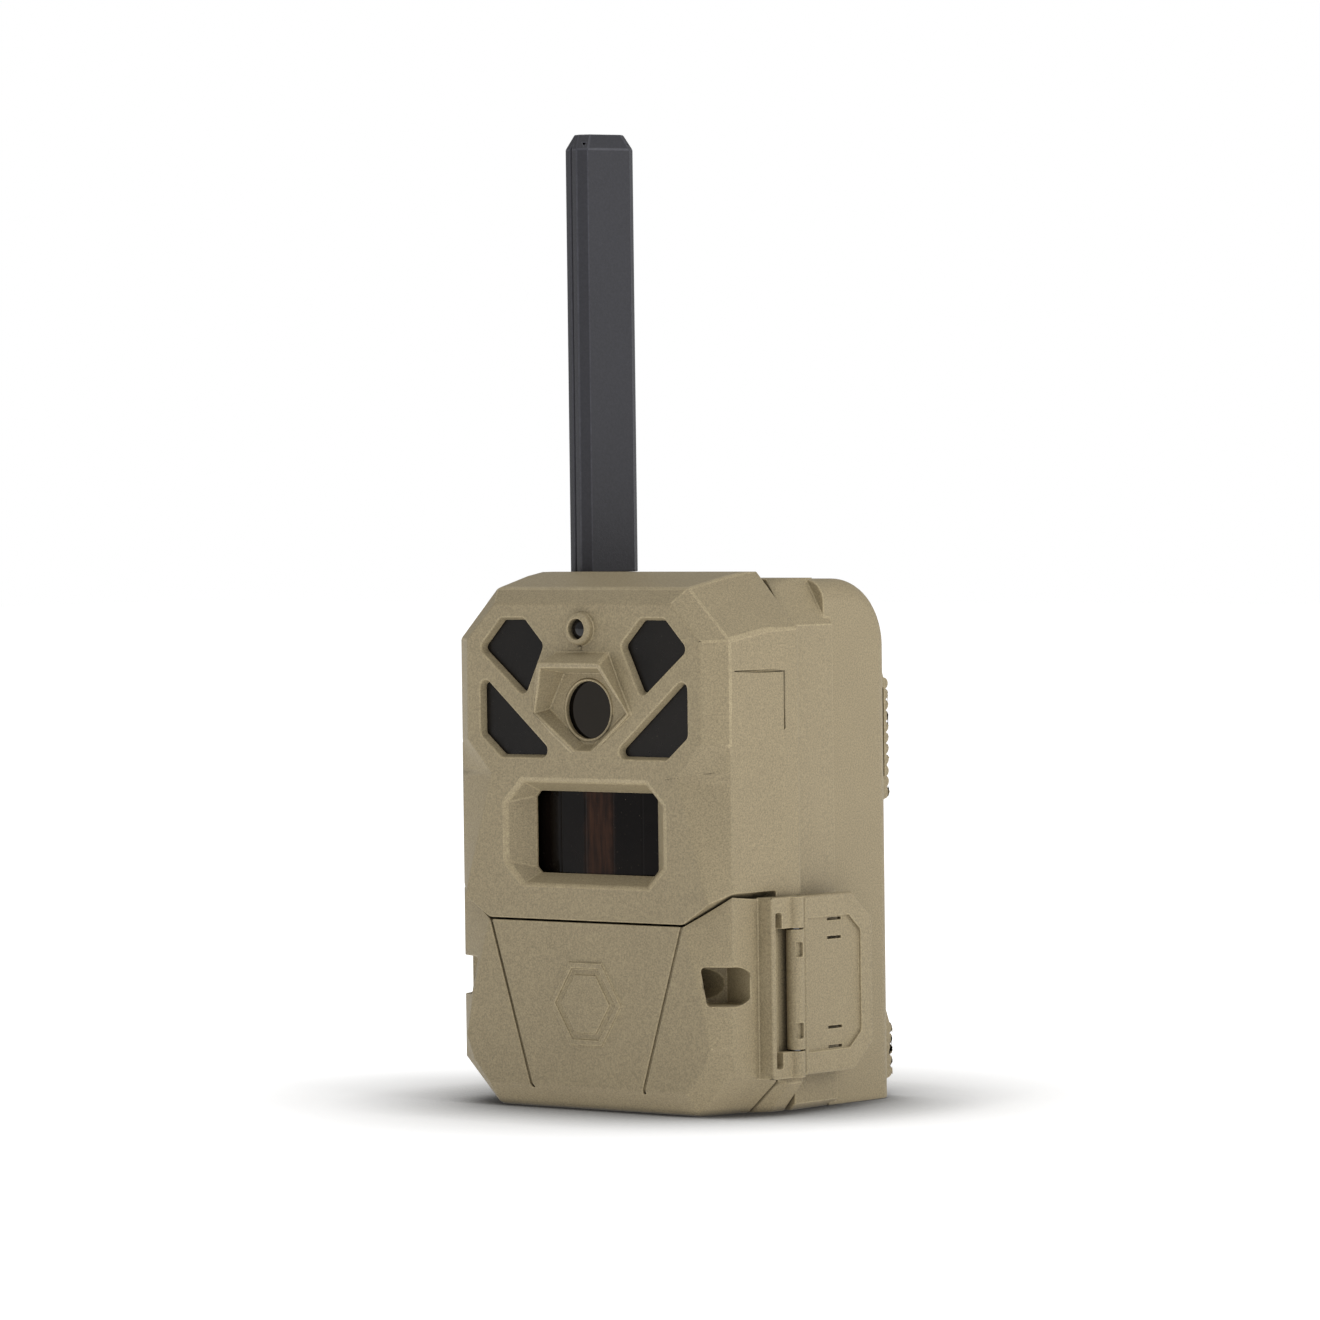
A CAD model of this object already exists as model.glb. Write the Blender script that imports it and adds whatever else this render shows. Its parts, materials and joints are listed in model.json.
import json
from math import cos, pi, radians, sin, sqrt, tau
from random import Random
import bmesh
import bpy
import numpy as np
from mathutils import Matrix, Vector
from mathutils.bvhtree import BVHTree
from mathutils.geometry import delaunay_2d_cdt

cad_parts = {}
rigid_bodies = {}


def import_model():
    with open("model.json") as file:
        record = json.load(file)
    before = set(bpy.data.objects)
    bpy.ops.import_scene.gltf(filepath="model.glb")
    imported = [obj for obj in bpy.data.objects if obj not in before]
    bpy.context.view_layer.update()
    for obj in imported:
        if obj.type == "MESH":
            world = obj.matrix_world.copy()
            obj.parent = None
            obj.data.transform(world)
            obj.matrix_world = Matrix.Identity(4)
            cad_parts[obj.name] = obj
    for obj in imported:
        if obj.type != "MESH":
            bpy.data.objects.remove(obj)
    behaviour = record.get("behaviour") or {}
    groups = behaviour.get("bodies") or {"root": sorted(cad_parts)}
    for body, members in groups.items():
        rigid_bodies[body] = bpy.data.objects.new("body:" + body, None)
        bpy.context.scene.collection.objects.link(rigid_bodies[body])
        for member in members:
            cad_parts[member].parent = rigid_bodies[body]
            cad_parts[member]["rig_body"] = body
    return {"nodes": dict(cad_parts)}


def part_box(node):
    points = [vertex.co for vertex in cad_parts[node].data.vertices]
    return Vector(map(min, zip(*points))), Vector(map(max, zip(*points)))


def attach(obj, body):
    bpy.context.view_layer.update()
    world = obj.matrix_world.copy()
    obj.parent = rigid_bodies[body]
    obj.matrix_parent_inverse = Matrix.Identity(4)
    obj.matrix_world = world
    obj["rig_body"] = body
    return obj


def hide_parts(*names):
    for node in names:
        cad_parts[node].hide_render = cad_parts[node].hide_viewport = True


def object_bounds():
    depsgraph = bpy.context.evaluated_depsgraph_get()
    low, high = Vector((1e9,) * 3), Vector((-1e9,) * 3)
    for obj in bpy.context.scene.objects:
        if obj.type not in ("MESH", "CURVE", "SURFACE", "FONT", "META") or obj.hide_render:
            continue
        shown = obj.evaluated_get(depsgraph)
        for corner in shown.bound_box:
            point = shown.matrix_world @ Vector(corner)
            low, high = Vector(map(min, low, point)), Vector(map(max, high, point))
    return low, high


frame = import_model()
cad_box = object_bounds()

MM = 0.001
UP, INWARDS, AHEAD = (0, 0, 1), (0, 1, 0), (0, -1, 0)
# Points closer than this many metres are one: in CAD meshes, in bevelled ones and in new shapes.
WELD_CAD, WELD_SOFT, WELD_NEW = 2e-5, 2e-6, 1e-7


# --- node trees ---
class Tree:
    """One material's nodes, with short calls for adding and joining them."""

    def __init__(self, name):
        self.mat = bpy.data.materials.new(name)
        self.mat.use_nodes = True
        self.nodes = self.mat.node_tree.nodes
        self.links = self.mat.node_tree.links
        self.shader = self.nodes["Principled BSDF"]
        self.place = self.add("ShaderNodeTexCoord").outputs["Object"]

    def add(self, kind, inputs=(), **settings):
        """A node of this kind, with its settings and with values or sockets put into its inputs."""
        node = self.nodes.new(kind)
        for key, value in settings.items():
            setattr(node, key, value)
        for key, value in dict(inputs).items():
            self.put(node.inputs[key], value)
        return node

    def put(self, socket, value):
        """A link if value is another node's output, or else a plain value."""
        if isinstance(value, bpy.types.NodeSocket):
            self.links.new(value, socket)
        else:
            socket.default_value = value

    def set(self, **values):
        """Inputs of the main shader; a name's underscores are spaces."""
        for key, value in values.items():
            self.put(self.shader.inputs[key.replace("_", " ")], value)

    def noise(self, per_mm, detail=2.0, rough=0.5, stretch=None):
        """Noise value with this many features per millimetre."""
        place = self.place
        if stretch:
            place = self.add("ShaderNodeMapping", {"Vector": place, "Scale": stretch}).outputs[0]
        values = {"Vector": place, "Scale": per_mm / MM, "Detail": detail, "Roughness": rough}
        return self.add("ShaderNodeTexNoise", values).outputs["Fac"]

    def fit(self, value, low, high, to_low=0.0, to_high=1.0):
        """Value moved from one range to another, and held inside it."""
        values = {"Value": value, "From Min": low, "From Max": high, "To Min": to_low, "To Max": to_high}
        return self.add("ShaderNodeMapRange", values).outputs["Result"]

    def math(self, operation, a, b=0.0):
        """Result of one arithmetic step."""
        return self.add("ShaderNodeMath", {0: a, 1: b}, operation=operation).outputs[0]

    def product(self, first, *others):
        """Values multiplied together."""
        for other in others:
            first = self.math("MULTIPLY", first, other)
        return first

    def mix(self, factor, a, b, blend="MIX"):
        """Colour between a and b."""
        node = self.add("ShaderNodeMix", data_type="RGBA", blend_type=blend)
        for socket, value in ((node.inputs[0], factor), (node.inputs[6], a), (node.inputs[7], b)):
            self.put(socket, value)
        return node.outputs[2]

    def shaded(self, colour, value):
        """Colour multiplied by a value."""
        grey = self.add("ShaderNodeCombineColor", {0: value, 1: value, 2: value}).outputs[0]
        return self.mix(1.0, colour, grey, "MULTIPLY")

    def bump(self, height, depth_mm):
        return self.add("ShaderNodeBump", {"Height": height, "Distance": depth_mm * MM}).outputs["Normal"]

    def worn(self):
        """1 on the rounded edges of a softened part, 0 elsewhere."""
        return self.add("ShaderNodeAttribute", attribute_name="worn").outputs["Fac"]

    def open_sky(self, reach_mm):
        """1 in the open, falling towards 0 down in grooves and gaps."""
        near = self.add("ShaderNodeAmbientOcclusion", {"Distance": reach_mm * MM}, samples=6)
        return near.outputs["AO"]


def rgb(red, green, blue):
    """Linear colour from 0 to 255 screen values."""
    linear = []
    for value in (red, green, blue):
        part = value / 255
        linear.append(part / 12.92 if part <= 0.04045 else ((part + 0.055) / 1.055) ** 2.4)
    return (*linear, 1.0)


def moulded(name, colour, grain=1.3, depth=0.05, rough=0.55, edge=1.2, speckle=0.1, dirt=0.5, specular=0.35):
    """Moulded plastic: spark-eroded grain, faint mottling, paler worn edges and darker gaps."""
    tree = Tree(name)
    fine = tree.noise(grain * 2.2, 2.0, 0.6)
    pits = tree.noise(grain, 3.0, 0.65)
    wear = tree.product(tree.worn(), tree.fit(tree.noise(0.25), 0.3, 0.7, 0.55, 1.0))
    shade = tree.product(
        tree.fit(tree.noise(0.03, 4.0, 0.6), 0.3, 0.7, 0.965, 1.035),
        tree.fit(pits, 0.36, 0.64, 1 - speckle, 1 + speckle),
        tree.fit(fine, 0.3, 0.7, 1 - speckle * 0.6, 1 + speckle * 0.6),
        tree.fit(wear, 0.0, 1.0, 1.0, edge),
        tree.fit(tree.open_sky(2.4), 0.15, 0.75, dirt),
        tree.fit(tree.open_sky(0.7), 0.35, 0.85, 0.72))
    tree.set(Base_Color=tree.shaded(rgb(*colour), shade))
    polish = tree.fit(fine, 0.3, 0.7, rough - 0.08, rough + 0.08)
    tree.set(Roughness=tree.math("SUBTRACT", polish, tree.product(wear, 0.1)))
    tree.set(Normal=tree.bump(tree.math("ADD", fine, pits), depth), Specular_IOR_Level=specular)
    return tree.mat


def rubber(name, colour, rough=0.7):
    """Moulded silicone, smooth with a faint bloom."""
    tree = Tree(name)
    bloom = tree.fit(tree.noise(0.15, 4.0, 0.65), 0.35, 0.75)
    pale = rgb(*(min(255, c + 14) for c in colour))
    gaps = tree.fit(tree.open_sky(2.0), 0.1, 0.7, 0.5)
    tree.set(Base_Color=tree.shaded(tree.mix(bloom, rgb(*colour), pale), gaps))
    tree.set(Roughness=tree.fit(tree.noise(1.5, 2.0), 0.3, 0.7, rough - 0.08, rough + 0.1))
    tree.set(Normal=tree.bump(tree.noise(2.6, 3.0), 0.015))
    return tree.mat


def metal(name, colour, rough=0.32, brushed=(1, 1, 1)):
    """Plated or turned metal with fine tool marks, slight tarnish and dark crevices."""
    tree = Tree(name)
    marks = tree.noise(1.2, 3.0, 0.6, brushed)
    tarnish = tree.fit(tree.noise(0.12, 4.0, 0.6), 0.4, 0.75)
    dull = tuple(round(c * 0.72) for c in colour)
    tint = tree.mix(tarnish, rgb(*colour), rgb(*dull))
    tree.set(Base_Color=tree.shaded(tint, tree.fit(tree.open_sky(0.8), 0.1, 0.7, 0.35)), Metallic=1.0)
    tree.set(Roughness=tree.fit(marks, 0.3, 0.7, rough - 0.1, rough + 0.12))
    tree.set(Normal=tree.bump(marks, 0.01))
    return tree.mat


def dark_window(name, colour, warm, rough=0.2, band=None, sheen=0.25):
    """Near-black filter plastic with faint haze and fine dust.

    band is the (half width in mm, colour) of a paler strip down the middle.
    """
    tree = Tree(name)
    base = tree.mix(tree.fit(tree.noise(0.06, 3.0), 0.35, 0.7), rgb(*colour), rgb(*warm))
    if band:
        across = tree.math("ABSOLUTE", tree.add("ShaderNodeSeparateXYZ", {0: tree.place}).outputs[0])
        edge = tree.math("ADD", across, tree.fit(tree.noise(0.3, 3.0), 0.0, 1.0, -0.0016, 0.0016))
        strip = tree.fit(edge, (band[0] - 1.5) * MM, (band[0] + 1.0) * MM, 1.0, 0.0)
        streak = tree.fit(tree.noise(0.22, 3.0, 0.6, (3, 1, 0.35)), 0.3, 0.7, 0.15, 1.0)
        base = tree.mix(tree.product(strip, streak), base, rgb(*band[1]))
    dust = tree.fit(tree.noise(1.6, 2.0, 0.7), 0.7, 0.78)
    tree.set(Base_Color=tree.mix(tree.product(dust, 0.3), base, rgb(150, 140, 122)))
    tree.set(Roughness=tree.fit(tree.noise(0.4, 4.0), 0.3, 0.7, rough * 0.8, rough * 1.3))
    tree.set(Normal=tree.bump(tree.noise(0.25, 2.0), 0.01), Specular_IOR_Level=sheen)
    return tree.mat


def glass(name, tint, rough=0.03, see=0.8, coat=(120, 90, 160), sheen=0.5):
    """Coated optical glass over a dark bore: mostly seen through, with a tinted reflection."""
    tree = Tree(name)
    smear = tree.fit(tree.noise(0.2, 3.0), 0.4, 0.8, rough, rough + 0.05)
    haze = tree.fit(tree.noise(0.1, 4.0), 0.35, 0.75)
    tree.set(Base_Color=tree.mix(haze, rgb(*tint), rgb(*(round(c * 0.8) for c in tint))))
    tree.set(Roughness=smear, Transmission_Weight=see, IOR=1.5, Specular_Tint=rgb(*coat))
    tree.set(Specular_IOR_Level=sheen, Normal=tree.bump(tree.noise(0.3, 2.0), 0.002))
    return tree.mat


def circuit(name):
    """Green solder mask over a faint maze of copper traces and vias."""
    tree = Tree(name)
    black, grey, white = ((value, value, value, 1.0) for value in (0.0, 0.25, 1.0))
    maze = {"Vector": tree.place, "Scale": 420.0, "Mortar Size": 0.035}
    cells = tree.add("ShaderNodeTexBrick", {**maze, "Color1": black, "Color2": grey, "Mortar": white})
    vias = tree.add("ShaderNodeTexVoronoi", {"Vector": tree.place, "Scale": 380.0}).outputs["Distance"]
    tree.set(Base_Color=tree.mix(cells.outputs["Color"], rgb(14, 62, 36), rgb(38, 104, 60)))
    tree.set(Metallic=tree.fit(vias, 0.05, 0.09, 0.7, 0.0), Roughness=0.32)
    tree.set(Normal=tree.bump(cells.outputs["Color"], 0.03))
    return tree.mat


MATERIALS = {
    "tan": moulded("tan_plastic", (147, 134, 106), 2.1, speckle=0.2, depth=0.07, edge=1.3, dirt=0.34),
    "antenna": moulded("antenna_plastic", (45, 45, 50), rough=0.5, edge=2.0, speckle=0.1),
    "black": moulded("dark_plastic", (38, 38, 40), rough=0.5, edge=1.5, speckle=0.06, depth=0.02),
    "button": moulded("button_plastic", (150, 152, 156), depth=0.01, rough=0.4, edge=1.1, speckle=0.03),
    "card": moulded("card_plastic", (225, 224, 218), depth=0.008, rough=0.35, edge=1.0, speckle=0.02),
    "jacket": moulded("cell_jacket", (58, 66, 84), depth=0.01, rough=0.25, edge=1.0, speckle=0.03),
    "seal": rubber("black_seal", (30, 30, 31)),
    "cable": rubber("cable_black", (26, 26, 27), 0.5),
    "ir": dark_window("ir_filter", (14, 11, 8), (22, 18, 14), 0.3, sheen=0.2),
    "pir": dark_window("pir_film", (9, 6, 5), (17, 12, 9), 0.14, (5.2, (60, 37, 25)), 0.08),
    "sensor": dark_window("clear_plastic", (12, 11, 11), (20, 18, 18), 0.1, sheen=0.4),
    "lens": glass("clear_glass", (9, 8, 7), 0.05, 0.35, (255, 240, 220), 0.1),
    "filter": glass("tinted_glass", (110, 190, 200), coat=(200, 80, 80)),
    "board": circuit("circuit_board"),
    "steel": metal("steel", (190, 190, 192), brushed=(1, 1, 8)),
    "brass": metal("brass", (205, 172, 98), 0.3),
    "copper": metal("copper", (200, 128, 92), 0.3),
}


# --- meshes ---
def smooth(mesh, angle=35):
    """Smooth shading, but for edges sharper than angle."""
    mesh.shade_smooth()
    mesh.set_sharp_from_angle(angle=radians(angle))


def add_object(name, data):
    """A new object in the scene."""
    made = bpy.data.objects.new(name, data)
    bpy.context.scene.collection.objects.link(made)
    return made


def finish_piece(name, mesh, body, material, replaces=None):
    """A mesh as a piece that rides on a body, in one material."""
    piece = add_object(name, mesh)
    mesh.materials.clear()
    mesh.materials.append(MATERIALS[material])
    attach(piece, body)
    if replaces:
        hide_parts(replaces)
    return piece


def span(node):
    """Low and high corner of a CAD part, in millimetres."""
    low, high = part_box(node)
    return Vector(low) / MM, Vector(high) / MM


def centre(low, high):
    """Middle of a box."""
    return [(a + b) / 2 for a, b in zip(low, high)]


def reached(seed, left, beside):
    """Takes out of left, and returns, all that is reached from seed; beside lists what is next to one."""
    left.discard(seed)
    group = [seed]
    for here in group:
        for other in beside(here):
            if other in left:
                left.discard(other)
                group.append(other)
    return group


def islands(node):
    """Low and high corner of each separate body in a CAD part, in millimetres, in a steady order."""
    bm = bmesh.new()
    bm.from_mesh(frame["nodes"][node].data)
    bmesh.ops.remove_doubles(bm, verts=bm.verts, dist=WELD_CAD)
    left, boxes = set(bm.verts), []
    for vert in bm.verts:
        if vert in left:
            group = reached(vert, left, lambda here: [e.other_vert(here) for e in here.link_edges])
            places = [v.co / MM for v in group]
            low = Vector(min(p[i] for p in places) for i in range(3))
            high = Vector(max(p[i] for p in places) for i in range(3))
            boxes.append((low, high))
    bm.free()
    return sorted(boxes, key=lambda b: (round(b[0].z, 1), round(b[0].x, 1), round(b[0].y, 1)))


def triangle_wave(value):
    """0 to 1 and back to 0 for each whole step of value."""
    part = value % 1.0
    return 1 - abs(2 * part - 1)


class Shape:
    """Points and faces of one piece, in millimetres in the shared frame."""

    def __init__(self):
        self.points = []
        self.faces = []

    def patch(self, rows, closed=True):
        """Rows of points joined by four-sided faces; closed joins each row's last point to its first."""
        start, across = len(self.points), len(rows[0])
        for row in rows:
            self.points.extend(row)
        for r in range(len(rows) - 1):
            for c in range(across if closed else across - 1):
                a, b = start + r * across + c, start + r * across + (c + 1) % across
                self.faces.append((a, b, b + across, a + across))

    def lathe(self, profile, base, axis, steps=40, wave=None):
        """Profile of (radius, height) turned about an axis; wave(turn, height) is added to its radius."""
        base, axis = Vector(base), Vector(axis).normalized()
        side = axis.orthogonal().normalized()
        other = axis.cross(side)
        rows = []
        for radius, height in profile:
            row = []
            for k in range(steps):
                turn = tau * k / steps
                r = radius + wave(turn, height) if wave and radius else radius
                row.append(base + axis * height + (side * cos(turn) + other * sin(turn)) * r)
            rows.append(row)
        self.patch(rows)

    def block(self, low, high, edge=0.2):
        """Box with chamfered edges all round."""
        edge = min(edge, *((b - a) * 0.45 for a, b in zip(low, high)))
        rings = []
        for z, shy in ((low[2], edge), (low[2] + edge, 0.0), (high[2] - edge, 0.0), (high[2], edge)):
            x0, x1, y0, y1 = low[0] + shy, high[0] - shy, low[1] + shy, high[1] - shy
            rings.append([Vector(p) for p in (
                (x0 + edge, y0, z), (x1 - edge, y0, z), (x1, y0 + edge, z), (x1, y1 - edge, z),
                (x1 - edge, y1, z), (x0 + edge, y1, z), (x0, y1 - edge, z), (x0, y0 + edge, z))])
        start = len(self.points)
        self.patch(rings)
        self.faces.append(tuple(range(start + 7, start - 1, -1)))
        self.faces.append(tuple(range(start + 24, start + 32)))

    def make(self, name, body, material, replaces=None, angle=35):
        """The points and faces as a piece that rides on a body."""
        mesh = bpy.data.meshes.new(name)
        mesh.from_pydata([p * MM for p in self.points], [], self.faces)
        bm = bmesh.new()
        bm.from_mesh(mesh)
        bmesh.ops.remove_doubles(bm, verts=bm.verts, dist=WELD_NEW)
        bmesh.ops.dissolve_degenerate(bm, dist=WELD_NEW, edges=bm.edges)
        bmesh.ops.recalc_face_normals(bm, faces=bm.faces)
        bm.to_mesh(mesh)
        bm.free()
        smooth(mesh, angle)
        return finish_piece(name, mesh, body, material, replaces)


def curls_on(edge, sharp, short=4 * MM, bend=radians(35)):
    """True if an edge runs on smoothly into a short one, as straight runs beside a small arc do."""
    along = (edge.verts[1].co - edge.verts[0].co).normalized()
    for vert in edge.verts:
        for other in vert.link_edges:
            if other is not edge and other in sharp and other.calc_length() < short:
                way = (other.verts[1].co - other.verts[0].co).normalized()
                if abs(way.dot(along)) > cos(bend):
                    return True
    return False


def edge_widths(bm, sizes, fine, broad, angle):
    """Bevel weight on each sharp edge: full for long convex ones, none beside strips too narrow to round."""
    weight = bm.edges.layers.float.new("bevel_weight_edge")
    turn, steep, long, roomy, narrow = radians(angle), radians(75), 7 * MM, 3.2, 1.3 * fine
    sharp = {e for e in bm.edges if len(e.link_faces) == 2 and e.calc_face_angle(0) > turn}
    for edge in sharp:
        length = edge.calc_length()
        room = min(sizes[face] for face in edge.link_faces) / length / MM
        outer = edge.is_convex and length > long and room > roomy and edge.calc_face_angle(0) < steep
        if broad > fine and outer and not curls_on(edge, sharp):
            edge[weight] = 1.0
        elif room > narrow:
            edge[weight] = fine / broad


def mark_flats(bm):
    """Numbers each flat region, however many faces it is cut into; returns region normals and face sizes."""
    layer = bm.faces.layers.int.new("flat")
    level = 0.004 * MM
    left, normals, sizes = set(bm.faces), {}, {}
    for seed in sorted(bm.faces, key=lambda f: (-f.calc_area(), f.index)):
        if seed not in left:
            continue
        middle, normal = seed.calc_center_median(), seed.normal.copy()

        def beside(here, middle=middle, normal=normal):
            near = {f for e in here.edges for f in e.link_faces}
            return [f for f in near if all(abs((v.co - middle).dot(normal)) < level for v in f.verts)]

        group = reached(seed, left, beside)
        whole = sum(face.calc_area() for face in group)
        for face in group:
            sizes[face] = whole
        if len(group) > 1:
            normals[len(normals) + 1] = normal
            for face in group:
                face[layer] = len(normals)
    return normals, sizes


def encloses(walls, x, y):
    """True if a place is inside the loops drawn by these (x, y, x, y) walls."""
    ax, ay, bx, by = walls
    level = (ay > y) != (by > y)
    reach = (bx[level] - ax[level]) * (y - ay[level]) / (by[level] - ay[level]) + ax[level]
    return np.count_nonzero(x < reach) % 2 == 1


def refill_flats(bm, normals):
    """Fills each flat region afresh inside its rim, where bevelling may have folded the faces."""
    layer = bm.faces.layers.int["flat"]
    regions = {}
    for face in bm.faces:
        if face[layer] and not face.material_index:
            regions.setdefault(face[layer], []).append(face)
    trios = []
    for number in sorted(regions):
        own = set(regions[number])
        rim = [e for f in regions[number] for e in f.edges if sum(near in own for near in e.link_faces) == 1]
        side = normals[number].orthogonal().normalized()
        other = normals[number].cross(side)
        verts = list(dict.fromkeys(v for e in rim for v in e.verts))
        spot = {vert: k for k, vert in enumerate(verts)}
        flat = [Vector((v.co.dot(side) / MM, v.co.dot(other) / MM)) for v in verts]
        edges = [(spot[e.verts[0]], spot[e.verts[1]]) for e in rim]
        points, _, triangles, origins = delaunay_2d_cdt(flat, edges, [], 0, 1e-4)[:4]
        height = verts[0].co.dot(normals[number])
        corners = []
        for point, origin in zip(points, origins):
            if origin:
                corners.append(verts[origin[0]])
            else:
                place = side * point.x * MM + other * point.y * MM + normals[number] * height
                corners.append(bm.verts.new(place))
        walls = np.array([(*flat[a], *flat[b]) for a, b in edges]).T
        for triangle in triangles:
            middle = sum((points[k] for k in triangle), Vector((0.0, 0.0))) / 3
            if encloses(walls, middle.x, middle.y):
                trios.append([corners[k] for k in triangle])
    bmesh.ops.delete(bm, geom=[f for number in regions for f in regions[number]], context="FACES_ONLY")
    for trio in trios:
        if len(set(trio)) == 3 and not bm.faces.get(trio):
            bm.faces.new(trio).smooth = True
    bmesh.ops.delete(bm, geom=[e for e in bm.edges if not e.link_faces], context="EDGES")
    bmesh.ops.delete(bm, geom=[v for v in bm.verts if not v.link_faces], context="VERTS")
    bm.normal_update()


def close_slits(bm, most_corners=16, least_area=0.1 * MM * MM):
    """Fills the few-sided openings left where the end of a rounding was pulled in."""
    rim = [e for e in bm.edges if len(e.link_loops) == 1]
    free, slits = set(rim), []
    for edge in rim:
        start, goal = edge.link_loops[0].vert, edge.link_loops[0].link_loop_next.vert
        came, queue = {start: None}, [start]
        for here in queue:
            for onward in here.link_edges:
                other = onward.other_vert(here)
                if onward in free and onward is not edge and other not in came:
                    came[other] = (here, onward)
                    queue.append(other)
        if edge not in free or goal not in came:
            continue
        path, used, here = [goal], [edge], goal
        while here is not start:
            here, onward = came[here]
            path.append(here)
            used.append(onward)
        path.reverse()
        middle = sum((v.co for v in path), Vector()) / len(path)
        turns = [(a.co - middle).cross(b.co - middle) for a, b in zip(path, path[1:] + path[:1])]
        area = sum(turns, Vector()).length / 2
        if len(path) <= most_corners and area > least_area and not bm.faces.get(path):
            free -= set(used)
            slits.append(path)
    filled = [bm.faces.new(path) for path in slits]
    bmesh.ops.triangulate(bm, faces=filled, ngon_method="EAR_CLIP")
    bm.normal_update()


def settle(bm, surface, fine, broad):
    """Pulls stray bevel points back to the surface they came from."""
    reach = max(0.45 * fine, 0.36 * broad) * MM
    too_far = 1.2 * broad * MM
    spikes = {v for v in bm.verts if surface.find_nearest(v.co)[3] > too_far}
    for _ in range(6):
        for vert in sorted(spikes, key=lambda v: v.index):
            near = [e.other_vert(vert) for e in vert.link_edges if e.other_vert(vert) not in spikes]
            if near:
                vert.co = min(near, key=lambda other: (other.co - vert.co).length).co
                spikes.discard(vert)
    for vert in bm.verts:
        place, _, _, gap = surface.find_nearest(vert.co)
        if gap > reach:
            vert.co = place
    bmesh.ops.remove_doubles(bm, verts=bm.verts, dist=WELD_SOFT)
    bmesh.ops.dissolve_degenerate(bm, dist=WELD_SOFT, edges=bm.edges)


def soften(node, fine, material, broad=None, angle=24):
    """A copy of a CAD part with real rounded edges, which stands for the CAD part."""
    source = frame["nodes"][node]
    broad = broad or fine
    bm = bmesh.new()
    bm.from_mesh(source.data)
    bmesh.ops.remove_doubles(bm, verts=bm.verts, dist=WELD_CAD)
    bmesh.ops.dissolve_degenerate(bm, dist=WELD_CAD, edges=bm.edges)
    surface = BVHTree.FromBMesh(bm)
    normals, sizes = mark_flats(bm)
    edge_widths(bm, sizes, fine, broad, angle)
    mesh = bpy.data.meshes.new(node + "_sharp")
    bm.to_mesh(mesh)
    bm.free()
    mesh.materials.clear()
    for _ in range(2):
        mesh.materials.append(MATERIALS[material])
    carrier = add_object(node + "_sharp", mesh)
    bevel = carrier.modifiers.new("round", "BEVEL")
    bevel.width = broad * MM
    bevel.segments = 3 if broad > fine else 2
    bevel.limit_method = "WEIGHT"
    bevel.use_clamp_overlap = False
    bevel.material = 1
    graph = bpy.context.evaluated_depsgraph_get()
    rounded = bpy.data.meshes.new_from_object(carrier.evaluated_get(graph))
    bpy.data.objects.remove(carrier)
    bm = bmesh.new()
    bm.from_mesh(rounded)
    settle(bm, surface, fine, broad)
    refill_flats(bm, normals)
    close_slits(bm)
    worn = bm.faces.layers.float.new("worn")
    for face in bm.faces:
        face[worn] = float(face.material_index)
        face.material_index = 0
    bm.to_mesh(rounded)
    bm.free()
    rounded.name = node + "_soft"
    smooth(rounded)
    piece = finish_piece(node + "_soft", rounded, source["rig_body"], material, node)
    weights = piece.modifiers.new("even_normals", "WEIGHTED_NORMAL")
    weights.keep_sharp = True
    return piece


# --- CAD parts with rounded edges ---
# Width of the rounding in mm, material, and the width on long outer edges where that differs.
SOFT = {
    "front_shell": (0.35, "tan", 1.1), "door_panel": (0.35, "tan", 1.1), "rear_housing": (0.4, "tan", 0.8),
    "latch_lever": (0.3, "tan"), "antenna_front_shell": (0.35, "antenna"),
    "antenna_back_shell": (0.35, "antenna"), "door_liner": (0.3, "black"), "battery_tray": (0.25, "black"),
    "tray_cover": (0.3, "black"), "control_panel": (0.25, "black"), "port_cover": (0.25, "seal"),
    "door_gasket": (0.35, "seal"), "housing_gasket": (0.3, "seal"), "setup_button": (0.2, "button"),
    "ir_windows": (0.2, "ir"), "ir_cut_frame": (0.15, "black"), "cell_modem": (0.2, "steel"),
    "sd_socket": (0.12, "steel"), "sd_card": (0.15, "black"), "sim_card": (0.1, "card"),
    "dc_jack": (0.2, "black"), "antenna_nut": (0.2, "brass"), "lens_window": (0.15, "lens"),
}
PLAIN = {
    "ir_cut_filter": "filter", "ir_led_board": "board", "image_sensor_board": "board", "main_board": "board",
    "control_board": "board", "coax_cable": "cable", "antenna_element": "copper",
}
for node, spec in SOFT.items():
    soften(node, *spec)
for node, material in PLAIN.items():
    mesh = frame["nodes"][node].data
    mesh.materials.clear()
    mesh.materials.append(MATERIALS[material])


# --- turned metal parts ---
def thread_rows(start, stop, pitch, root):
    """Profile rows close enough together to carry a helical thread."""
    count = round((stop - start) / pitch * 6)
    return [(root, start + (stop - start) * k / count) for k in range(count + 1)]


def helix(start, stop, pitch, depth):
    """Wave that raises a screw thread between two heights."""
    def wave(turn, height):
        if start <= height <= stop:
            return triangle_wave(height / pitch - turn / tau) * depth
        return 0.0
    return wave


def foot(radius, edge=0.1):
    """Start of a profile: a flat end with a chamfered rim."""
    return [(0, 0), (radius - edge, 0), (radius, edge)]


def dome(radius, start, rise):
    """End of a profile: a quarter ellipse from its rim to the axis."""
    turns = [pi / 2 * k / 8 for k in range(8)]
    return [(radius * cos(t), start + rise * sin(t)) for t in turns] + [(0, start + rise)]


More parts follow.
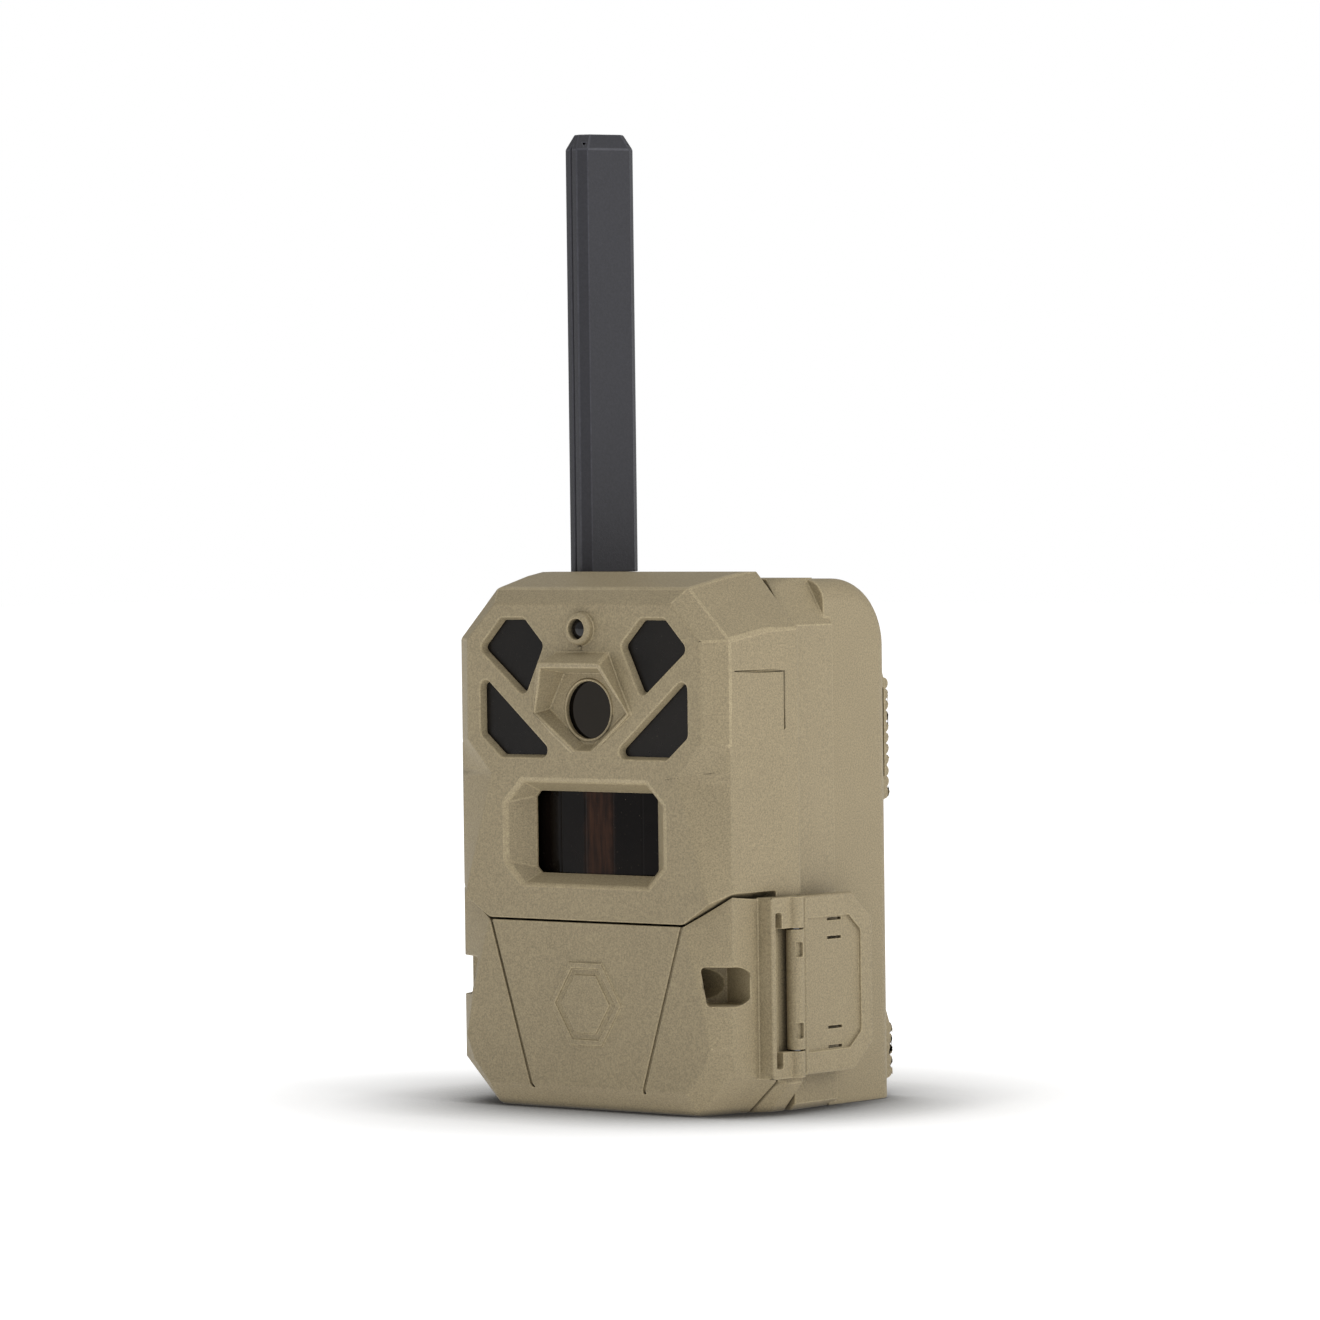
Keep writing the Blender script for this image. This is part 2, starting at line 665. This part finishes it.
def screw(shape, base, length, head, shank, lobe):
    """Pan-head screw driven in from behind, with a six-lobed recess; head is (radius, height)."""
    top, radius = length, head[0]
    neck = length - head[1]
    pitch = shank * 0.62
    profile = [(0, 0), (shank * 0.35, 0.05), (shank * 0.75, 0.9)]
    profile += thread_rows(1.0, neck - 1.0, pitch, shank * 0.78)
    profile += [(shank * 0.8, neck - 0.4), (shank * 0.95, neck), (radius * 0.92, neck), (radius, neck + 0.2)]
    profile += [(radius, neck + head[1] * 0.45), (radius * 0.92, top - 0.25), (radius * 0.7, top - 0.06)]
    profile += [(lobe + 0.35, top)]
    socket = [(lobe + 0.35, top), (lobe + 0.12, top - 0.04), (lobe, top - 0.15)]
    socket += [(lobe * 0.94, top - head[1] * 0.6), (0, top - head[1] * 0.68)]

    def lobes(turn, height):
        return 0.14 * lobe * cos(6 * turn) if height < top - 0.1 else 0.0

    shape.lathe(profile, base, INWARDS, 48, helix(1.0, neck - 1.0, pitch, shank * 0.2))
    shape.lathe(socket, base, INWARDS, 48, lobes)


def screws():
    """The screws that join the two housings, and the ones that hold the main board."""
    groups = {"housing_screws": ((2.85, 2.6), 1.42, 1.35), "board_screws": ((1.88, 1.2), 0.96, 0.8)}
    for node, sizes in groups.items():
        shape = Shape()
        for low, high in islands(node):
            x, _, z = centre(low, high)
            screw(shape, (x, low.y, z), high.y - low.y, *sizes)
        shape.make(node + "_turned", "camera", "steel", node)


def tripod_inserts():
    """Knurled brass inserts with a quarter-inch thread of 20 turns to the inch."""
    pitch, length, outer = 1.27, 7.9, 4.18
    shape = Shape()
    bore = thread_rows(0.5, 6.6, pitch, 2.58)
    waist = outer - 0.3
    rim = [(3.15, 0.02), (3.4, 0), (waist, 0), (outer, 0.25), (outer, 1.2), (waist, 1.4)]
    rim += [(waist, 1.9), (outer, 2.1), (outer, length - 0.3), (waist, length), (0, length)]
    for low, high in islands("tripod_inserts"):
        x, y, z = centre(low, high)
        base, axis = ((x, y, low.z), UP) if low.z < 1.0 else ((x, high.y, z), AHEAD)
        wave = helix(0.5, 6.6, pitch, 0.55)
        shape.lathe([(3.15, 0.02), (2.75, 0.35)] + bore + [(2.7, 7.0), (0, 7.0)], base, axis, 60, wave)
        shape.lathe(rim, base, axis, 60)
    shape.make("tripod_inserts_threaded", "camera", "brass", "tripod_inserts")


def antenna_jack():
    """Threaded bulkhead socket with its centre contact."""
    low, high = span("antenna_jack")
    x, y, _ = centre(low, high)
    pitch, top = 0.706, high.z - low.z
    profile = [(0, 0), (1.2, 0), (1.3, 0.3), (2.9, 0.4), (3.05, 0.6), (3.05, 3.4)]
    profile += [(5.0, 3.4), (5.2, 3.6), (5.2, 5.7), (5.0, 5.9), (2.9, 5.9), (2.78, 6.3)]
    profile += thread_rows(6.4, top - 0.8, pitch, 2.78)
    profile += [(2.8, top - 0.3), (2.6, top), (2.3, top), (2.2, top - 0.2), (2.2, top - 3.6)]
    profile += [(0.5, top - 3.6), (0.45, top - 0.8), (0.25, top - 0.4), (0, top - 0.35)]
    shape = Shape()
    shape.lathe(profile, (x, y, low.z), UP, 48, helix(6.4, top - 0.8, pitch, 0.3))
    shape.make("antenna_jack_threaded", "camera", "brass", "antenna_jack")


def antenna_coupling():
    """Knurled collar that screws down on the jack."""
    low, high = span("antenna_coupling")
    x, y, _ = centre(low, high)
    tall, outer = high.z - low.z, (high.x - low.x) / 2

    def knurl(turn, height):
        if 0.5 < height < tall - 0.5:
            return -0.16 * abs(sin(20 * turn + 3.5 * height) * sin(20 * turn - 3.5 * height))
        return 0.0

    rows = [(outer, 0.6 + (tall - 1.2) * k / 44) for k in range(45)]
    profile = [(3.15, 0.3), (3.4, 0.0), (outer - 0.3, 0.0), (outer, 0.3)] + rows
    profile += [(outer, tall - 0.3), (outer - 0.3, tall), (3.4, tall), (3.15, tall - 0.3)]
    profile += [(3.15, 0.3)]
    shape = Shape()
    shape.lathe(profile, (x, y, low.z), UP, 96, knurl)
    shape.make("antenna_coupling_knurled", "antenna", "brass", "antenna_coupling")


def pins():
    """Hinge and latch pins with domed ends and a splined head."""
    for node, body in (("hinge_pin", "camera"), ("latch_pin", "door")):
        low, high = span(node)
        x, y, _ = centre(low, high)
        radius, tall = (high.x - low.x) / 2, high.z - low.z

        def spline(turn, height, tall=tall):
            return -0.08 * abs(cos(6 * turn)) if tall - 3.0 < height < tall - 0.5 else 0.0

        rows = [(radius, h) for h in (0.4, tall - 3.2, tall - 2.9, tall - 0.6, tall - 0.4)]
        profile = [(0, 0), (radius * 0.7, 0.06)] + rows + [(radius * 0.7, tall - 0.06), (0, tall)]
        shape = Shape()
        shape.lathe(profile, (x, y, low.z), UP, 36, spline)
        shape.make(node + "_turned", body, "steel", node)


# --- optics ---
def lens_stack():
    """Stepped barrel, domed front element, retaining ring and the elements behind it."""
    low, high = span("lens_barrel")
    x, _, z = centre(low, high)
    deep = high.y - low.y
    profile = [(5.02, 0), (8.3, 0), (8.6, 0.3), (8.6, 2.1), (8.3, 2.4), (7.0, 2.4)]
    for front in (5.8, 7.6, 9.4):
        profile += [(7.0, front - 0.75), (6.7, front - 0.55), (6.7, front - 0.15), (7.0, front)]
    profile += [(7.0, deep - 0.25), (6.8, deep), (6.5, deep), (6.4, deep - 0.25), (6.05, deep - 0.3)]
    profile += [(5.95, deep - 0.6), (5.6, deep - 0.65), (5.5, deep - 0.95), (5.15, deep - 1.0)]
    profile += [(5.02, deep - 1.3), (5.02, 0)]
    barrel = Shape()
    barrel.lathe(profile, (x, high.y, z), AHEAD, 96)
    barrel.make("lens_barrel_stepped", "camera", "black", "lens_barrel")

    low, high = span("lens_front_element")
    _, _, radius, thick = round_bar(low, high)
    ball = 10.0
    places = [radius * k / 16 for k in range(16, -1, -1)]
    curve = [(r, thick - ball + sqrt(ball ** 2 - r ** 2)) for r in places]
    hollow = [(radius * 0.86 * k / 10, 0.7 - 0.5 * (k / 10) ** 2) for k in range(11)]
    element = Shape()
    rim = [(radius * 0.88, 0.0), (radius - 0.1, 0.0), (radius, 0.1)]
    element.lathe(hollow + rim + curve, (x, high.y, z), AHEAD, 72)
    element.make("lens_front_element_ground", "camera", "lens", "lens_front_element")

    ring = Shape()
    lip = [(3.95, 1.6), (4.95, 1.6), (4.95, 1.8), (4.75, 2.0), (4.2, 2.1), (3.95, 1.95), (3.95, 1.6)]
    ring.lathe(lip, (x, high.y + 2.2, z), AHEAD, 72)
    for depth, inner in ((5.2, 3.2), (7.4, 2.3)):
        stop = [(inner, 0), (4.98, 0), (4.98, 0.35), (inner + 0.25, 0.35), (inner, 0.12), (inner, 0)]
        ring.lathe(stop, (x, low.y + depth, z), AHEAD, 60)
    ring.make("lens_stops", "camera", "black")

    inner = Shape()
    for depth, radius, bulge in ((6.6, 4.4, 0.9), (8.8, 4.0, -0.5)):
        rim = [(radius * k / 10, 1.1 + bulge * (1 - (k / 10) ** 2)) for k in range(10, -1, -1)]
        inner.lathe(foot(radius) + rim, (x, low.y + depth, z), AHEAD, 60)
    inner.make("lens_inner_elements", "camera", "filter")


def round_bar(low, high):
    """Middle x and z, radius and length of a round part that lies along Y."""
    x, _, z = centre(low, high)
    return x, z, (high.x - low.x) / 2, high.y - low.y


def light_sensor():
    """Domed pane over the light sensor."""
    low, high = span("light_sensor_lens")
    x, z, radius, deep = round_bar(low, high)
    bulge = 1.1
    shape = Shape()
    shape.lathe(foot(radius, 0.2) + dome(radius, deep - bulge, bulge), (x, high.y, z), AHEAD, 64)
    shape.make("light_sensor_dome", "camera", "sensor", "light_sensor_lens")


def infrared_emitters():
    """Domed emitters, each on a flange with a pair of soldered feet."""
    lamps, feet = Shape(), Shape()
    for low, high in islands("ir_leds"):
        x, z, radius, tall = round_bar(low, high)
        body = radius - 0.25
        profile = foot(radius) + [(radius, 0.8), (radius - 0.1, 0.9), (body, 0.95)]
        lamps.lathe(profile + dome(body, tall - body, body), (x, high.y, z), AHEAD, 36)
        for side in (-1, 1):
            solder = [(0, 0), (0.75, 0), (0.6, 0.25), (0.3, 0.7), (0, 0.8)]
            feet.lathe(solder, (x + side * 1.27, high.y + 1.4, z), INWARDS, 16)
    lamps.make("ir_led_domes", "camera", "sensor", "ir_leds")
    feet.make("ir_led_solder", "camera", "steel")


def status_pipes():
    """Light pipes with rounded ends."""
    shape = Shape()
    for low, high in islands("status_lights"):
        x, z, radius, tall = round_bar(low, high)
        profile = foot(radius) + [(radius, tall - 0.4), (radius * 0.85, tall - 0.16)]
        profile += [(radius * 0.5, tall - 0.04), (0, tall)]
        shape.lathe(profile, (x, high.y, z), AHEAD, 32)
    shape.make("status_light_pipes", "camera", "sensor", "status_lights")


def motion_lens():
    """Bowed film in upright strips, creased where they meet, with Fresnel rings moulded in its back."""
    low, high = span("pir_lens")
    joints = [-25.0, -15.5, -5.2, 5.2, 15.5, 25.0]
    depth = [2.5, 0.9, 0.0, 0.0, 0.9, 2.5]
    step, thick = 0.25, 0.8
    crease_deep, crease_wide, ring_deep, ring_pitch, ring_rise = 0.16, 0.4, 0.1, 1.25, 6.5
    across = round((high.x - low.x) / step)
    up = round((high.z - low.z) / step)
    _, _, middle_z = centre(low, high)
    front, back = [], []
    for j in range(up + 1):
        z = low.z + (high.z - low.z) * j / up
        row, row_back = [], []
        for i in range(across + 1):
            x = low.x + (high.x - low.x) * i / across
            k = max(n for n in range(5) if x >= joints[n] - 1e-6)
            part = (x - joints[k]) / (joints[k + 1] - joints[k])
            y = low.y + depth[k] + (depth[k + 1] - depth[k]) * part
            crease = min(abs(x - joint) for joint in joints[1:-1])
            dent = crease_deep * max(0.0, 1 - crease / crease_wide)
            ring_x = (joints[k] + joints[k + 1]) / 2
            ring_z = middle_z + (ring_rise if z > middle_z else -ring_rise)
            away = sqrt((x - ring_x) ** 2 + (z - ring_z) ** 2)
            groove = ring_deep * ((away / ring_pitch) % 1.0)
            row.append(Vector((x, y + dent, z)))
            row_back.append(Vector((x, y + thick - groove, z)))
        front.append(row)
        back.append(row_back)
    shape = Shape()
    shape.patch(front, False)
    shape.patch(back, False)
    shape.patch([front[0], back[0]], False)
    shape.patch([front[-1], back[-1]], False)
    shape.patch([[row[0] for row in front], [row[0] for row in back]], False)
    shape.patch([[row[-1] for row in front], [row[-1] for row in back]], False)
    shape.make("pir_lens_film", "camera", "pir", "pir_lens", 50)


def motion_sensor():
    """Metal can with its filter pane, on a plastic foot."""
    low, high = span("pir_sensor")
    x, _, z = centre(low, high)
    rear = low.y + 4.2
    can = Shape()
    profile = [(0, 0), (5.0, 0), (5.2, 0.15), (5.2, 0.65), (5.0, 0.8), (4.75, 0.85), (4.6, 1.1), (4.6, 3.8)]
    profile += [(4.45, 4.08), (4.2, 4.2), (2.6, 4.2), (2.4, 4.05), (2.4, 3.0), (0, 3.0)]
    can.lathe(profile, (x, rear, z), AHEAD, 64)
    can.block((x - 0.6, rear - 0.75, z + 4.9), (x + 0.6, rear - 0.05, z + 6.0), 0.1)
    can.make("pir_sensor_can", "camera", "steel", "pir_sensor")
    pane = Shape()
    disc = [(0, 0), (2.38, 0), (2.38, 0.5), (2.25, 0.62), (0, 0.62)]
    pane.lathe(disc, (x, rear - 3.05, z), AHEAD, 40)
    pane.make("pir_sensor_pane", "camera", "ir")
    seat = Shape()
    seat.block((x - 3.5, rear + 0.05, z - 3.5), (x + 3.5, high.y, z + 3.5), 0.4)
    seat.make("pir_sensor_foot", "camera", "black")


# --- power ---
def battery_cells():
    """Cells in shrunk sleeves, turned end for end in turn."""
    ends, sleeves = Shape(), Shape()
    cells = islands("battery_cells")
    pitch = cells[1][0].x - cells[0][0].x
    rise = cells[4][0].z - cells[0][0].z
    for low, high in cells:
        column = round((low.x - cells[0][0].x) / pitch)
        row = round((low.z - cells[0][0].z) / rise)
        x, z, radius, tall = round_bar(low, high)
        base, axis = ((x, high.y, z), AHEAD) if (column + row) % 2 else ((x, low.y, z), INWARDS)
        core = radius - 0.3
        profile = [(0, 0.2), (3.0, 0.2), (3.4, 0.02), (5.2, 0.02), (6.2, 0.2), (core, 0.7)]
        profile += [(core, tall - 1.9), (6.1, tall - 1.5), (4.6, tall - 1.45), (4.3, tall - 1.7)]
        profile += [(3.1, tall - 1.7), (2.85, tall - 1.3), (2.7, tall - 0.3), (2.4, tall), (0, tall)]
        ends.lathe(profile, base, axis, 56)
        wrap = [(core - 0.35, 0.45), (core, 0.32), (radius - 0.08, 0.7), (radius, 1.1)]
        wrap += [(radius, tall - 2.3), (radius - 0.1, tall - 1.8), (core - 0.1, tall - 1.4)]
        wrap += [(5.9, tall - 1.32), (5.8, tall - 1.45), (core - 0.35, tall - 1.9), (core - 0.35, 0.45)]
        sleeves.lathe(wrap, base, axis, 56)
    ends.make("battery_cell_cans", "camera", "steel", "battery_cells")
    sleeves.make("battery_cell_sleeves", "camera", "jacket")


def battery_contacts():
    """Pressed contact plates with a ring-shaped dent."""
    shape = Shape()
    profile = foot(5.4, 0.05) + [(5.4, 0.28), (5.3, 0.35), (3.6, 0.35)]
    profile += [(3.3, 0.18), (2.2, 0.18), (1.9, 0.34), (0, 0.35)]
    for low, high in islands("battery_contacts"):
        x, _, z = centre(low, high)
        shape.lathe(profile, (x, high.y, z), AHEAD, 40)
    shape.make("battery_contact_plates", "camera", "steel", "battery_contacts")


def polarity_marks():
    """Raised plus and minus beside each opening of the tray cover, and ridges on its pull tab."""
    low, high = span("tray_cover")
    middle_x, _, middle_z = centre(low, high)
    face = low.y + 2.9
    marks = Shape()
    cells = islands("battery_cells")
    pitch = cells[1][0].x - cells[0][0].x
    for cell_low, cell_high in cells:
        x, _, z = centre(cell_low, cell_high)
        above = z > middle_z
        column = round((cell_low.x - cells[0][0].x) / pitch)
        mark_x, mark_z = x - pitch * 0.36, z + (5.3 if above else -5.3)
        bars = [(1.3, 0.3)]
        if (column + above) % 2:
            bars.append((0.3, 1.3))
        for wide, tall in bars:
            low_end = (mark_x - wide, face - 0.3, mark_z - tall)
            marks.block(low_end, (mark_x + wide, face + 0.1, mark_z + tall), 0.12)
    for k in range(-6, 7):
        x = middle_x + k * 1.3
        low_end = (x - 0.28, low.y - 0.3, middle_z - 0.85)
        marks.block(low_end, (x + 0.28, low.y + 0.3, middle_z + 0.85), 0.14)
    marks.make("tray_cover_marks", "camera", "black")


# --- boards and controls ---
def flat_part(shape, pins, x, z, size, face, ahead, tall, legs=0):
    """Chip on an upright board: x, z centre, (width, height) size, standing tall off face towards ahead."""
    width, height = size
    y0, y1 = sorted((face + ahead * 0.1, face + ahead * tall))
    shape.block((x - width / 2, y0, z - height / 2), (x + width / 2, y1, z + height / 2), 0.12)
    foot0, foot1 = sorted((face, face + ahead * tall * 0.45))
    for k in range(legs):
        along = z - height / 2 + height * (k + 0.5) / legs
        reach = width / 2 + 0.55
        pins.block((x - reach, foot0, along - 0.14), (x + reach, foot1, along + 0.14), 0.05)


def board_parts():
    """Chips, passive parts and connectors on the boards."""
    chips, pins, small = Shape(), Shape(), Shape()
    front = span("main_board")[1].y - 2.6
    layout = [(-24, 92, (9, 9), 8), (22, 96, (12, 12), 14), (-26, 120, (6, 10), 8), (26, 124, (7, 7), 7),
              (0, 139, (14, 5), 4), (-12, 92, (4, 5), 4), (33, 82, (5, 8), 6)]
    for x, z, size, legs in layout:
        flat_part(chips, pins, x, z, size, front, -1, 1.1, legs)
    draw = Random(7)
    for k in range(90):
        x, z = draw.uniform(-38, 38), draw.uniform(74, 143)
        if abs(x) < 18 and 76 < z < 132:
            continue
        size = (1.6, 0.8) if draw.random() < 0.5 else (0.8, 1.6)
        flat_part(small, pins, x, z, size, front, -1, 0.7)
    low, _ = span("control_board")
    for z, height in ((17, 4), (24, 3), (31, 5), (44, 3)):
        low_end = (low.x + 12.6, low.y + 4.2, z - height / 2)
        chips.block(low_end, (low.x + 13.4, low.y + 8.0, z + height / 2), 0.1)
    low, _ = span("image_sensor_board")
    for x, z in ((-11, 106), (-11, 124), (11, 106), (11, 124), (-11, 115), (11, 115)):
        flat_part(small, pins, x, z, (2.0, 1.2), low.y + 0.6, -1, 0.7)
    _, high = span("ir_led_board")
    for k in range(10):
        flat_part(small, pins, -36 + 8 * k, high.z - 2.2, (1.8, 1.0), high.y, 1, 0.7)
    chips.make("board_chips", "camera", "black")
    pins.make("board_legs", "camera", "steel")
    small.make("board_passives", "camera", "jacket")


def card_contacts():
    """Gilt strips on the memory card and the network card."""
    shape = Shape()
    low, high = span("sd_card")
    for k in range(8):
        z = low.z + 2.6 + k * 2.4
        low_end = (high.x - 0.05, high.y - 6.2, z - 0.7)
        shape.block(low_end, (high.x + 0.04, high.y - 1.2, z + 0.7), 0.02)
    low, high = span("sim_card")
    for row in range(2):
        for k in range(3):
            y, z = high.y - 6.6 + row * 3.0, low.z + 4.4 + k * 2.6
            shape.block((high.x - 0.05, y - 1.3, z - 1.1), (high.x + 0.04, y + 1.3, z + 1.1), 0.02)
    shape.make("card_contacts", "camera", "brass")


def panel_rings():
    """Raised rings round the set-up button and the status lights, and a frame round each card slot."""
    face = span("control_panel")[0].y
    shape = Shape()
    places = [(*centre(*span("setup_button")), 3.85, 0.8)]
    places += [(*centre(low, high), 1.25, 0.4) for low, high in islands("status_lights")]
    for x, _, z, inner, wide in places:
        outer = inner + wide
        ring = [(inner, -0.1), (outer, -0.1), (outer, 0.15), (outer - 0.15, 0.3)]
        ring += [(inner + 0.15, 0.3), (inner, 0.15), (inner, -0.1)]
        shape.lathe(ring, (x, face, z), AHEAD, 48)
    for node in ("sd_card", "sim_card"):
        low, high = span(node)
        x0, x1 = low.x - 0.35, high.x + 0.35
        z0, z1 = low.z - 0.35, high.z + 0.35
        strips = [(x0 - 0.5, x0, z0 - 0.5, z1 + 0.5), (x1, x1 + 0.5, z0 - 0.5, z1 + 0.5)]
        strips += [(x0, x1, z0 - 0.5, z0), (x0, x1, z1, z1 + 0.5)]
        for a, b, c, d in strips:
            shape.block((a, face - 0.3, c), (b, face + 0.1, d), 0.12)
    shape.make("control_panel_rings", "camera", "black")


def liner_details():
    """Stiffening ribs and six screws on the inside of the door."""
    low, high = span("door_liner")
    face = low.y + 1.6
    ribs, heads = Shape(), Shape()
    for x in (-36, -18, 0, 18):
        ribs.block((x - 0.6, face - 0.1, low.z + 6.0), (x + 0.6, face + 0.9, high.z - 6.0), 0.25)
    for z in (14.0, 27.0, 40.0):
        ribs.block((low.x + 6.0, face - 0.1, z - 0.6), (30.0, face + 0.9, z + 0.6), 0.25)
    ribs.make("door_liner_ribs", "door", "black")
    for x in (-43, 0.0, 43):
        for z in (low.z + 5.2, high.z - 5.2):
            if x and z < 20:
                z += 8
            profile = [(0, -0.1), (2.2, -0.1), (2.2, 0.4), (1.9, 0.75), (1.2, 0.85), (1.05, 0.83)]
            profile += [(0.95, 0.7), (0.9, 0.25), (0, 0.2)]
            heads.lathe(profile, (x, face, z), INWARDS, 36)
    heads.make("door_liner_screws", "door", "steel")


def cable_ends():
    """Crimped sleeves at both ends of the antenna lead."""
    low, _ = span("coax_cable")
    shape = Shape()
    plug = [(0, 0.02), (1.35, 0.02), (1.6, 0.2), (1.6, 0.9), (1.35, 1.1), (1.35, 1.6)]
    plug += [(1.6, 1.8), (1.5, 2.3), (0, 2.35)]
    shape.lathe(plug, (-12.0, low.y + 0.05, 126.0), INWARDS, 36)
    crimp = [(0.95, 0), (1.3, 0), (1.35, 0.2), (1.35, 3.0), (1.2, 3.1), (1.2, 3.6)]
    crimp += [(1.35, 3.7), (1.3, 4.2), (0.95, 4.2), (0.95, 0)]
    low, high = span("antenna_jack")
    x, y, _ = centre(low, high)
    shape.lathe(crimp, (x, y, low.z - 4.2), UP, 36)
    shape.make("coax_ferrules", "camera", "brass")


BUILDERS = [
    screws, tripod_inserts, antenna_jack, antenna_coupling, pins, lens_stack, light_sensor,
    infrared_emitters, status_pipes, motion_lens, motion_sensor, battery_cells, battery_contacts,
    polarity_marks, board_parts, card_contacts, panel_rings, liner_details, cable_ends,
]
for build in BUILDERS:
    build()


# --- stage ---
def floor_tree():
    """White paper that glows faintly away from the object, and darkens close under it."""
    tree = Tree("floor")
    tint = tree.fit(tree.noise(0.002, 2.0), 0.3, 0.7, 0.985, 1.0)
    seen = tree.add("ShaderNodeLightPath").outputs["Is Camera Ray"]
    near = tree.product(seen, tree.fit(tree.open_sky(45.0), 0.35, 0.97, 0.93, 0.0))
    wide = tree.product(seen, tree.fit(tree.open_sky(170.0), 0.45, 0.97, 0.5, 0.0))
    shade = tree.product(tint, tree.math("SUBTRACT", 1.0, near), tree.math("SUBTRACT", 1.0, wide))
    tree.set(Base_Color=tree.shaded((0.95, 0.95, 0.95, 1.0), shade), Roughness=0.9)
    away = tree.add("ShaderNodeVectorMath", {0: tree.place}, operation="LENGTH").outputs["Value"]
    glow = tree.product(shade, tree.fit(away, 0.08, 0.2, 0.3, 0.75))
    tree.set(Emission_Color=(1.0, 1.0, 1.0, 1.0), Emission_Strength=glow)
    below = tree.add("ShaderNodeNewGeometry").outputs["Backfacing"]
    clear = tree.add("ShaderNodeBsdfTransparent").outputs["BSDF"]
    either = tree.add("ShaderNodeMixShader", {0: below, 1: tree.shader.outputs["BSDF"], 2: clear})
    tree.put(tree.nodes["Material Output"].inputs["Surface"], either.outputs[0])
    return tree.mat


def make_floor():
    """Square floor under the lowest point of the object."""
    half, z = 6.0, cad_box[0][2]
    mesh = bpy.data.meshes.new("floor")
    corners = [(-half, -half, z), (half, -half, z), (half, half, z), (-half, half, z)]
    mesh.from_pydata(corners, [], [(0, 1, 2, 3)])
    mesh.materials.append(floor_tree())
    add_object("floor", mesh)


def direction(azimuth, elevation):
    """Unit vector away from the object; in degrees, azimuth 0 is in front and 90 on the +X side."""
    a, e = radians(azimuth), radians(elevation)
    return Vector((sin(a) * cos(e), -cos(a) * cos(e), sin(e)))


def lamp(name, azimuth, elevation, distance, size, watts):
    """Soft square light aimed at the middle of the object."""
    light = bpy.data.lights.new(name, "AREA")
    light.size = size
    light.energy = watts
    middle, away = Vector((0.0, 0.0, 0.09)), direction(azimuth, elevation)
    holder = add_object(name, light)
    holder.location = middle + away * distance
    holder.rotation_euler = away.to_track_quat("Z", "Y").to_euler()


def make_camera():
    """Long lens from the front right, a little above the middle of the housing."""
    place = Vector((1.252, -1.502, 0.182))
    azimuth, elevation, roll = 40.0, 1.554, -0.713
    back, right = direction(azimuth, elevation), direction(azimuth + 90, 0)
    up = back.cross(right)
    turn = Matrix((right, up, back)).transposed() @ Matrix.Rotation(radians(roll), 3, "Z")
    data = bpy.data.cameras.new("camera")
    data.lens = 182.2
    data.sensor_width = 36.0
    data.clip_end = 20.0
    holder = add_object("camera", data)
    holder.matrix_world = Matrix.Translation(place) @ turn.to_4x4()
    bpy.context.scene.camera = holder


def make_world():
    """White to the camera, dimmer as a light."""
    world = bpy.data.worlds.new("studio")
    world.use_nodes = True
    nodes, links = world.node_tree.nodes, world.node_tree.links
    seen = nodes.new("ShaderNodeLightPath").outputs["Is Camera Ray"]
    strength = nodes.new("ShaderNodeMapRange")
    strength.inputs["To Min"].default_value = 0.43
    strength.inputs["To Max"].default_value = 1.0
    links.new(seen, strength.inputs["Value"])
    links.new(strength.outputs["Result"], nodes["Background"].inputs["Strength"])
    nodes["Background"].inputs["Color"].default_value = (1.0, 1.0, 1.0, 1.0)
    bpy.context.scene.world = world
    bpy.context.scene.view_settings.view_transform = "Standard"


make_floor()
make_world()
make_camera()
lamp("key", 95, 30, 1.6, 1.0, 8.6)
lamp("top", 20, 75, 1.5, 1.2, 6.0)
